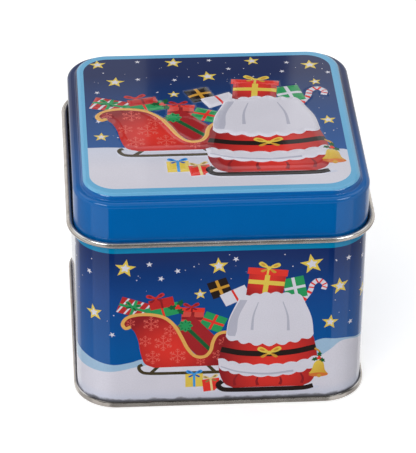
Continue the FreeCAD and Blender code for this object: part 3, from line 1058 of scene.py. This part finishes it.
def make_base(materials):
    chuck_mid = HALF - SHEET - CHUCK_FIT - SHEET / 2.0
    outer_mid = HALF + 3 * SEAM_GAP + 2.5 * SHEET
    hook_r = SHEET + SEAM_GAP
    start = HALF - BEAD_INSET - BEAD_RIM
    sheet = Sheet(start, BASE_PANEL_TOP - BEAD_DROP - SHEET / 2.0, 0)
    straight, run = step(BEAD_DROP, BEAD_SLOPE, BEAD_R, BEAD_R)
    sheet.straight(HALF - BEAD_INSET - run - start)
    sheet.bend(BEAD_R, BEAD_SLOPE)
    sheet.straight(straight)
    sheet.bend(BEAD_R, -BEAD_SLOPE)
    sheet.straight(chuck_mid - PANEL_BEND_R - sheet.a, 3)
    sheet.bend(PANEL_BEND_R, -90)
    sheet.straight(sheet.z - SEAM_CORNER_R - SHEET / 2.0)
    sheet.bend(SEAM_CORNER_R, 90)
    sheet.straight(outer_mid - SEAM_CORNER_R - sheet.a)
    sheet.bend(SEAM_CORNER_R, 90)
    sheet.straight(SEAM_HEIGHT - SHEET / 2.0 - hook_r - sheet.z, 2)
    sheet.bend(hook_r, 180)
    sheet.straight(END_HOOK)

    def uneven(s, up, across):
        return ripple(s, SEAM_RIPPLE) * np.clip((across - HALF - SEAM_RIPPLE_IN) / SEAM_RIPPLE_FADE, 0, 1)

    skin = Skin()
    add_folded(skin, sheet, rim_lengths(), bare_metal, uneven)
    plain = Picture()
    plain.lay(rim_outline(start), BARE, bare=True)
    grid = point_grid(-start, start, -start, start, BASE_GRID)
    flat, faces, owners = cut_print(plain, grid[inside_rim(grid, start - BASE_GRID_CLEAR)], [])
    colours, kinds = print_colours(plain, flat, faces, owners)
    for side in (1, -1):
        height = BASE_PANEL_TOP - BEAD_DROP - SHEET / 2.0 + side * SHEET / 2.0
        points = np.column_stack([flat, np.full(len(flat), height)])
        normals = np.tile([0.0, 0.0, float(side)], (len(flat), 1))
        skin.add(points, normals, faces, colours, kinds)
    finish_piece(skin, "base_shell", "tin", "base_end", materials)


def finish_piece(skin, name, body, node, materials):
    piece = skin.build(name, materials)
    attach(piece, body)
    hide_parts(node)


# ---- materials

CREVICE_LOW, CREVICE_HIGH = 0.00185, 0.0022  # metres up the double seam, where it darkens with soiling and painted shade into the crevice
SEAM_ABOVE = 0.0034  # metres up, clear of the seam
DIRT_AND_SHADE_TOP = 0.0033  # metres up, to where the print above the seam is soiled and darkened with painted shade


class Graph:
    """Builds a node tree: each call adds a node, with its inputs set or linked by name or number."""

    def __init__(self, tree):
        self.tree = tree
        tree.nodes.clear()

    def add(self, kind, inputs=None, **settings):
        node = self.tree.nodes.new(kind)
        for key, value in settings.items():
            setattr(node, key, value)
        for key, value in (inputs or {}).items():
            if isinstance(value, bpy.types.NodeSocket):
                self.tree.links.new(value, node.inputs[key])
            else:
                node.inputs[key].default_value = value
        return node

    def math(self, operation, *values):
        return self.add("ShaderNodeMath", dict(enumerate(values)), operation=operation).outputs[0]

    def ramp(self, value, start, end, low=0.0, high=1.0):
        """A smooth step of value from low at start to high at end."""
        inputs = {"Value": value, "From Min": start, "From Max": end, "To Min": low, "To Max": high}
        return self.add("ShaderNodeMapRange", inputs, interpolation_type="SMOOTHSTEP").outputs[0]

    def steps(self, *ramps):
        """The product of smooth steps, each given as the inputs of ramp."""
        product = self.ramp(*ramps[0])
        for inputs in ramps[1:]:
            product = self.times(product, self.ramp(*inputs))
        return product

    def plus(self, first, second):
        return self.math("ADD", first, second)

    def times(self, first, second):
        return self.math("MULTIPLY", first, second)

    def most(self, first, second):
        return self.math("MAXIMUM", first, second)

    def noise(self, where, scale, detail=2.0):
        """Smooth noise with about this many cells to the metre."""
        inputs = {"Vector": where, "Scale": scale, "Detail": detail}
        return self.add("ShaderNodeTexNoise", inputs).outputs["Fac"]

    def tint(self, share, first, second, kind="MIX"):
        inputs = {0: share, 6: first, 7: second}
        return self.add("ShaderNodeMix", inputs, data_type="RGBA", blend_type=kind).outputs[2]

    def either(self, share, first, second):
        return self.add("ShaderNodeMixShader", {0: share, 1: first.outputs[0], 2: second.outputs[0]})

    def on_the_sides(self, across, along, front, side):
        """Goes from one value on the front and the back to another on the two sides."""
        past = self.math("SUBTRACT", self.math("ABSOLUTE", across), self.math("ABSOLUTE", along))
        return self.ramp(past, -0.003, 0.004, front, side)

    def bump(self, height, distance, under=None):
        inputs = {"Height": height, "Distance": distance}
        if under is not None:
            inputs["Normal"] = under
        return self.add("ShaderNodeBump", inputs).outputs[0]


def grey(value):
    return (value, value, value, 1.0)


def new_material(name):
    material = bpy.data.materials.new(name)
    material.use_nodes = True
    graph = Graph(material.node_tree)
    where = graph.add("ShaderNodeTexCoord").outputs["Object"]
    return material, graph, where


def finish_material(graph, inputs):
    shader = graph.add("ShaderNodeBsdfPrincipled", inputs)
    graph.add("ShaderNodeOutputMaterial", {"Surface": shader.outputs[0]})


def printed_tinplate():
    """Litho ink under clear varnish, with a slight grain, waviness, specks, and soiling with painted shade at
    the seam.
    """
    material, graph, where = new_material("printed_tinplate")
    colour = graph.add("ShaderNodeAttribute", attribute_name="print").outputs["Color"]
    grain = graph.noise(where, 2600.0, 1.0)
    cloud = graph.noise(where, 60.0, 3.0)
    shade = graph.plus(graph.ramp(grain, 0.3, 0.7, 0.965, 1.02), graph.ramp(cloud, 0.3, 0.7, -0.02, 0.015))
    shade = graph.add("ShaderNodeCombineColor", {0: shade, 1: shade, 2: shade}).outputs[0]
    colour = graph.tint(1.0, colour, shade, "MULTIPLY")
    cell = graph.add("ShaderNodeTexVoronoi", {"Vector": where, "Scale": 95.0})
    pick = graph.add("ShaderNodeSeparateColor", {0: cell.outputs["Color"]}).outputs
    size = graph.ramp(pick[1], 0.5, 1.0, 0.004, 0.022)
    near = graph.math("LESS_THAN", cell.outputs["Distance"], size)
    speck = graph.times(near, graph.math("GREATER_THAN", pick[0], 0.6))
    colour = graph.tint(graph.times(speck, 0.7), colour, grey(0.06))
    across, along, height = graph.add("ShaderNodeSeparateXYZ", {0: where}).outputs
    # painted shade: the print just above the seam is darkened towards near black, partly as soiling and
    # partly as the crevice's shadow, stronger on the front and back than on the sides
    ragged = graph.ramp(graph.noise(where, 240.0, 3.0), 0.35, 0.7, 0.0002, -0.0005)
    dirt_and_shade = graph.ramp(graph.plus(height, ragged), DIRT_AND_SHADE_TOP, CREVICE_HIGH)
    dirt_and_shade = graph.times(dirt_and_shade, graph.on_the_sides(across, along, 0.72, 0.2))
    colour = graph.tint(dirt_and_shade, colour, (0.035, 0.03, 0.027, 1.0))
    peel = graph.bump(graph.noise(where, 900.0, 2.0), 0.0000005)
    wave = graph.bump(graph.noise(where, 38.0, 1.0), 0.00002, peel)
    finish_material(graph, {
        "Base Color": colour,
        "Roughness": graph.ramp(cloud, 0.3, 0.7, 0.3, 0.38),
        "Specular IOR Level": 0.0,
        "Coat Weight": 1.0,
        "Coat Roughness": graph.ramp(grain, 0.2, 0.8, 0.025, 0.05),
        "Coat IOR": 1.45,
        "Normal": wave,
        "Coat Normal": wave,
    })
    return material


def bare_tinplate():
    """Uncoated tinplate, with faint blooms, dull spots, small dents, and soiling with painted shade where the
    base is seamed on.
    """
    material, graph, where = new_material("bare_tinplate")
    bloom = graph.noise(where, 110.0, 3.0)
    stain = graph.noise(where, 260.0, 3.0)
    colour = graph.tint(graph.ramp(bloom, 0.35, 0.65), (0.58, 0.53, 0.485, 1.0), (0.68, 0.63, 0.58, 1.0))
    colour = graph.tint(graph.ramp(stain, 0.56, 0.74, 0.0, 0.35), colour, (0.32, 0.28, 0.245, 1.0))
    across, along, height = graph.add("ShaderNodeSeparateXYZ", {0: where}).outputs
    # painted shade: the seam's crevice and top are darkened towards near black, partly as soiling and partly
    # as the crevice's shadow, stronger on the front and back than on the sides
    ragged = graph.ramp(graph.noise(where, 240.0, 3.0), 0.3, 0.7, 0.00014, -0.00014)
    grime_and_shade = graph.steps(
        (graph.plus(height, ragged), CREVICE_LOW, CREVICE_LOW + 0.0002),
        (height, CREVICE_HIGH, CREVICE_HIGH + 0.0003, 0.85, 0.5),
        (height, SEAM_ABOVE + 0.0002, SEAM_ABOVE),
    )
    grime_and_shade = graph.times(grime_and_shade, graph.on_the_sides(across, along, 1.0, 0.1))
    colour = graph.tint(grime_and_shade, colour, (0.03, 0.025, 0.02, 1.0))
    dull = graph.ramp(stain, 0.55, 0.75, 0.0, 0.08)
    finish_material(graph, {
        "Base Color": colour,
        "Metallic": 0.92,
        "Roughness": graph.plus(graph.ramp(bloom, 0.3, 0.7, 0.15, 0.2), dull),
        "Normal": graph.bump(graph.noise(where, 160.0, 1.0), 0.0000015),
    })
    return material


# ---- studio

VIEW_AZIMUTH = math.radians(-4.209)
VIEW_ELEVATION = math.radians(33.239)
VIEW_ROLL = math.radians(0.749)
VIEW_DISTANCE = 1.02739  # metres
VIEW_TARGET = (-0.001786, 0.0, 0.041297)
VIEW_LENS = 228.84
FRAME_MM = 36.0
FLOOR_HALF = 4.0  # metres
LIGHT_AIM = (0, 0, 0.04)
LIGHTS = [  # name, place, width and height in metres, power in watts
    ("key", (-0.5, -0.9, 0.9), (0.8, 0.6), 4.7),
    ("top", (0.1, 0.3, 1.1), (0.9, 0.9), 2.2),
]
GAP_BEARING = 175.62  # middle of the dark gap at the back, in degrees from the front


def make_camera():
    data = bpy.data.cameras.new("camera")
    data.lens = VIEW_LENS
    data.sensor_width = FRAME_MM
    data.clip_end = 50.0
    camera = new_object("camera", data)
    level = math.cos(VIEW_ELEVATION)
    back = Vector((math.sin(VIEW_AZIMUTH) * level, -math.cos(VIEW_AZIMUTH) * level, math.sin(VIEW_ELEVATION)))
    camera.location = Vector(VIEW_TARGET) + back * VIEW_DISTANCE
    camera.rotation_mode = "QUATERNION"
    camera.rotation_quaternion = back.to_track_quat("Z", "Y") @ Quaternion((0, 0, 1), VIEW_ROLL)
    bpy.context.scene.camera = camera


def make_floor():
    mesh = bpy.data.meshes.new("floor")
    corners = [(x, y, 0.0) for x, y in strip(FLOOR_HALF, -FLOOR_HALF, FLOOR_HALF)]
    mesh.from_pydata(corners, [], [(0, 1, 2, 3)])
    floor = new_object("floor", mesh)
    material, graph, where = new_material("pale_floor")
    colour = graph.tint(graph.noise(where, 6.0, 2.0), grey(0.86), grey(0.88))
    seen = graph.add("ShaderNodeLightPath").outputs["Is Camera Ray"]
    finish_material(graph, {
        "Base Color": colour,
        "Roughness": 0.9,
        "Emission Color": grey(1.0),
        "Emission Strength": graph.plus(graph.times(seen, 0.42), 0.08),
    })
    mesh.materials.append(material)
    floor.visible_glossy = False


def make_light(name, place, size, power):
    data = bpy.data.lights.new(name, "AREA")
    data.shape = "RECTANGLE"
    data.size, data.size_y = size
    data.energy = power
    light = new_object(name, data)
    light.location = place
    light.rotation_mode = "QUATERNION"
    light.rotation_quaternion = (Vector(place) - Vector(LIGHT_AIM)).to_track_quat("Z", "Y")
    light.visible_glossy = False


def mirrored_low(graph, away, rise):
    """What the varnish mirrors from below the horizon: pale side walls, a dark front and the floor."""
    walls = graph.steps((away, 22.0, 23.5, 0.02, 0.75), (away, 70.0, 76.0, 1.0, 0.5))
    light = graph.plus(walls, graph.ramp(away, 122.0, 134.0, 0.0, 0.5))
    haze = graph.steps((rise, -33.5, -33.7), (rise, -34.15, -33.95, 0.0, 0.3), (away, 9.0, 6.0))
    light = graph.plus(light, haze)
    light = graph.most(light, graph.ramp(rise, -26.0, -17.0, 0.0, 0.5))
    return graph.most(light, graph.steps((rise, -36.9, -37.7), (rise, -65.0, -48.0, 0.3, 0.65)))


def mirrored_high(graph, away, rise):
    """What is mirrored from above it: a back wall with a dark gap, side lights, side walls and a ceiling."""
    gap = graph.math("ABSOLUTE", graph.math("SUBTRACT", away, GAP_BEARING))
    light = graph.most(graph.ramp(gap, 1.56, 1.68, 0.0, 0.57), graph.ramp(rise, 30.75, 30.05, 0.0, 0.2))
    light = graph.plus(light, graph.steps((away, 174.0, 173.8), (rise, 31.4, 30.2, 0.0, 0.3)))
    light = graph.times(light, graph.ramp(rise, 32.7, 32.2))
    light = graph.times(light, graph.ramp(away, 20.0, 60.0, 0.1, 1.0))
    bright = graph.plus(graph.ramp(rise, 33.4, 34.2, 0.0, 0.5), graph.ramp(rise, 37.0, 40.0, 0.0, 0.9))
    bright = graph.times(bright, graph.ramp(rise, 62.0, 54.0))
    light = graph.plus(light, graph.times(bright, graph.ramp(away, 80.0, 110.0)))
    side = graph.steps((away, 26.0, 36.0), (away, 80.0, 66.0))
    box = graph.steps((rise, 43.0, 46.0), (rise, 62.0, 58.0, 0.0, 9.0))
    light = graph.plus(light, graph.times(side, box))
    walls = graph.steps((rise, 30.0, 18.0), (away, 150.0, 130.0), (away, 18.0, 30.0, 0.12, 0.42))
    return graph.most(graph.most(light, walls), graph.ramp(rise, 41.0, 50.0, 0.0, 0.5))


def make_world():
    """A white tent to the eye and to dull surfaces, with what the varnish mirrors set apart.

    Directions are in degrees: away is the bearing from the front, to either side, and rise the elevation.
    """
    world = bpy.data.worlds.new("studio")
    bpy.context.scene.world = world
    world.use_nodes = True
    graph = Graph(world.node_tree)
    where = graph.add("ShaderNodeTexCoord").outputs["Generated"]
    x, y, z = graph.add("ShaderNodeSeparateXYZ", {0: where}).outputs
    degrees = 180.0 / math.pi
    away = graph.math("ABSOLUTE", graph.times(graph.math("ARCTAN2", x, graph.times(y, -1.0)), degrees))
    rise = graph.times(graph.math("ARCSINE", z), degrees)
    low, high = mirrored_low(graph, away, rise), mirrored_high(graph, away, rise)
    glossy = graph.add("ShaderNodeMix", {0: graph.ramp(rise, -8.0, 4.0), 2: low, 3: high}).outputs[0]
    cool = graph.tint(graph.ramp(rise, 32.7, 33.4), grey(1.0), (0.86, 0.93, 1.0, 1.0))
    mirrored = graph.add("ShaderNodeBackground", {"Color": cool, "Strength": glossy})
    even = graph.math("SUBTRACT", 0.57, graph.times(graph.most(x, 0.0), 0.42))
    plain = graph.add("ShaderNodeBackground", {"Color": (0.99, 0.995, 1.0, 1.0), "Strength": even})
    backdrop = graph.add("ShaderNodeBackground", {"Color": grey(1.0), "Strength": 1.0})
    path = graph.add("ShaderNodeLightPath").outputs
    mixed = graph.either(path["Is Glossy Ray"], plain, mirrored)
    shown = graph.either(path["Is Camera Ray"], mixed, backdrop)
    graph.add("ShaderNodeOutputWorld", {"Surface": shown.outputs[0]})


bpy.context.scene.view_settings.view_transform = "Standard"
metals = [printed_tinplate(), bare_tinplate()]
make_lid(metals)
make_body(metals)
make_base(metals)
make_floor()
make_world()
for light in LIGHTS:
    make_light(*light)
make_camera()
